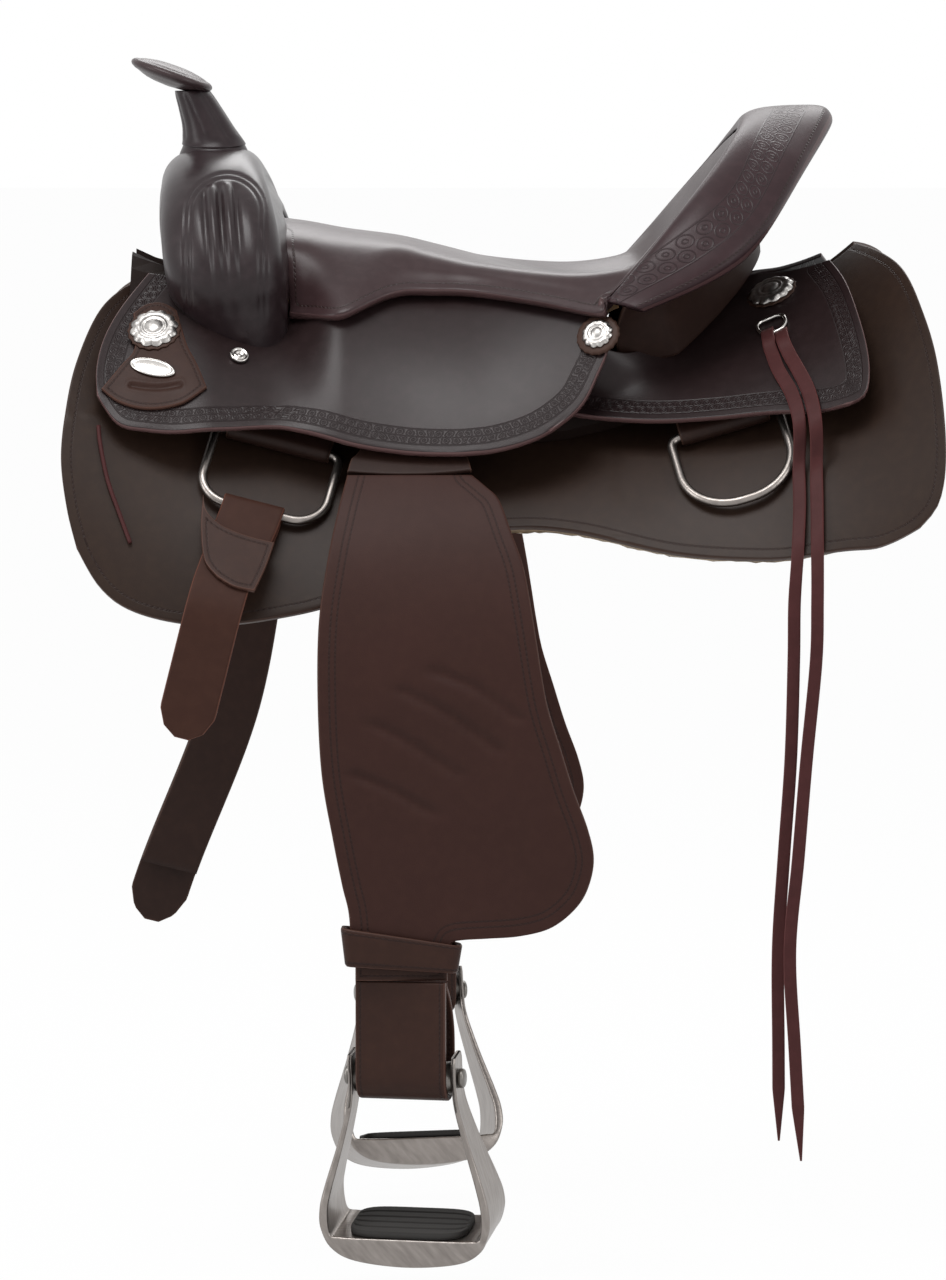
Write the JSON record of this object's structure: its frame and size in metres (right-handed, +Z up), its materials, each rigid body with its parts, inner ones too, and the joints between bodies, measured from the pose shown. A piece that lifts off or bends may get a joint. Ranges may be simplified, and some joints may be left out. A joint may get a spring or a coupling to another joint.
{
  "type": "western trail saddle",
  "caption": "Western trail saddle: horn and padded swell, dished seat with rolled cantle, skirts, fenders and hanging stirrups.",
  "frame": {"origin": "on the horse's back line: the point where the fleeces would rest, midway along the saddle", "axes": "+X towards the cantle and the horse's tail, -X towards the horn, -Y near (left) side, +Z up"},
  "size_m": [0.672, 0.5406, 0.9184],
  "materials": {
    "dark_brown_leather": "oiled",
    "jockey_leather": "oiled, soft sheen",
    "seat_leather": "oiled, soft sheen",
    "red_brown_lace": "matt lace leather",
    "wool_fleece": "fleece",
    "tree_wood": "plain",
    "brushed_aluminium": "brushed",
    "bright_silver": "polished",
    "black_rubber": "matt",
    "steel": "plain"
  },
  "bodies": {
    "saddle": {"cantle_back": "dark_brown_leather", "cantle_board": "tree_wood", "cheyenne_roll": "seat_leather", "fleece_near": "wool_fleece", "fleece_off": "wool_fleece", "fork": "tree_wood", "front_concho_near": "bright_silver", "front_lace_near": "red_brown_lace", "front_rigging_near": "dark_brown_leather", "front_rigging_off": "dark_brown_leather", "ground_seat": "tree_wood", "horn_cap": "dark_brown_leather", "horn_neck": "dark_brown_leather", "latigo_keeper_near": "dark_brown_leather", "middle_concho_near": "bright_silver", "middle_concho_off": "bright_silver", "oval_plate_near": "bright_silver", "rear_concho_near": "bright_silver", "rear_concho_off": "bright_silver", "rear_jockey_near": "jockey_leather", "rear_jockey_off": "jockey_leather", "rear_rigging_near": "dark_brown_leather", "rear_rigging_off": "dark_brown_leather", "rosette_near": "dark_brown_leather", "saddle_string_front_near": "red_brown_lace", "saddle_string_rear_near": "red_brown_lace", "seat": "seat_leather", "seat_jockey_near": "jockey_leather", "seat_jockey_off": "jockey_leather", "skirt_near": "dark_brown_leather", "skirt_off": "dark_brown_leather", "swell_cover": "dark_brown_leather", "tie_ring_near": "bright_silver", "tie_ring_off": "bright_silver", "tree_bar_near": "tree_wood", "tree_bar_off": "tree_wood", "tree_screw_near": "bright_silver"},
    "tongue_near": {"fender_tongue_near": "dark_brown_leather"},
    "fender_near": {"fender_near": "dark_brown_leather", "stirrup_leather_near": "dark_brown_leather", "hobble_strap_near": "dark_brown_leather"},
    "loop_near": {"stirrup_loop_near": "dark_brown_leather", "stirrup_bolt_near": "steel"},
    "stirrup_near": {"stirrup_near": "brushed_aluminium", "stirrup_tread_near": "black_rubber"},
    "front_ring_near": {"front_ring_near": "brushed_aluminium"},
    "rear_ring_near": {"rear_ring_near": "brushed_aluminium"},
    "latigo": {"latigo": "red_brown_lace", "latigo_cuff": "dark_brown_leather"},
    "tongue_off": {"fender_tongue_off": "dark_brown_leather"},
    "fender_off": {"fender_off": "dark_brown_leather", "stirrup_leather_off": "dark_brown_leather", "hobble_strap_off": "dark_brown_leather"},
    "loop_off": {"stirrup_loop_off": "dark_brown_leather", "stirrup_bolt_off": "steel"},
    "stirrup_off": {"stirrup_off": "brushed_aluminium", "stirrup_tread_off": "black_rubber"},
    "front_ring_off": {"front_ring_off": "brushed_aluminium"},
    "rear_ring_off": {"rear_ring_off": "brushed_aluminium"},
    "off_billet": {"off_billet": "dark_brown_leather"}
  },
  "joints": [
    {"name": "fender_swing_near", "type": "hinge", "parent": "saddle", "child": "tongue_near", "pos_m": [-0.0486, -0.10679, -0.01], "axis": [0, -0.5613, 0.8276], "range_deg": [-8, 15]},
    {"name": "fender_lift_near", "type": "hinge", "parent": "tongue_near", "child": "fender_near", "pos_m": [-0.0486, -0.19425, -0.07693], "axis": [-1, 0, 0], "range_deg": [0, 75]},
    {"name": "stirrup_turn_near", "type": "hinge", "parent": "fender_near", "child": "loop_near", "pos_m": [-0.0542, -0.25539, -0.46], "axis": [0, 0, 1], "range_deg": [-45, 45]},
    {"name": "stirrup_tilt_near", "type": "hinge", "parent": "loop_near", "child": "stirrup_near", "pos_m": [-0.0515, -0.24371, -0.533], "axis": [0.9744, -0.225, 0], "range_deg": [-50, 60]},
    {"name": "front_ring_lift_near", "type": "hinge", "parent": "saddle", "child": "front_ring_near", "pos_m": [-0.149, -0.14994, -0.05523], "axis": [-0.9679, 0.0573, 0.2448], "range_deg": [0, 25]},
    {"name": "latigo_swing", "type": "hinge", "parent": "front_ring_near", "child": "latigo", "pos_m": [-0.16412, -0.19085, -0.10543], "axis": [-0.9679, 0.0573, 0.2448], "range_deg": [0, 45]},
    {"name": "rear_ring_lift_near", "type": "hinge", "parent": "saddle", "child": "rear_ring_near", "pos_m": [0.1925, -0.16208, -0.04122], "axis": [-0.9586, 0.0045, -0.2846], "range_deg": [0, 25]},
    {"name": "fender_swing_off", "type": "hinge", "parent": "saddle", "child": "tongue_off", "pos_m": [-0.0486, 0.10679, -0.01], "axis": [0, -0.5613, -0.8276], "range_deg": [-8, 15]},
    {"name": "fender_lift_off", "type": "hinge", "parent": "tongue_off", "child": "fender_off", "pos_m": [-0.0486, 0.19425, -0.07693], "axis": [1, 0, 0], "range_deg": [0, 75]},
    {"name": "stirrup_turn_off", "type": "hinge", "parent": "fender_off", "child": "loop_off", "pos_m": [-0.0542, 0.25539, -0.46], "axis": [0, 0, -1], "range_deg": [-45, 45]},
    {"name": "stirrup_tilt_off", "type": "hinge", "parent": "loop_off", "child": "stirrup_off", "pos_m": [-0.0515, 0.24371, -0.533], "axis": [-0.9744, -0.225, 0], "range_deg": [-50, 60]},
    {"name": "front_ring_lift_off", "type": "hinge", "parent": "saddle", "child": "front_ring_off", "pos_m": [-0.149, 0.14994, -0.05523], "axis": [0.9679, 0.0573, -0.2448], "range_deg": [0, 25]},
    {"name": "off_billet_swing", "type": "hinge", "parent": "front_ring_off", "child": "off_billet", "pos_m": [-0.16412, 0.19085, -0.10543], "axis": [0.9679, 0.0573, -0.2448], "range_deg": [0, 45]},
    {"name": "rear_ring_lift_off", "type": "hinge", "parent": "saddle", "child": "rear_ring_off", "pos_m": [0.1925, 0.16208, -0.04122], "axis": [0.9586, 0.0045, 0.2846], "range_deg": [0, 25]}
  ]
}
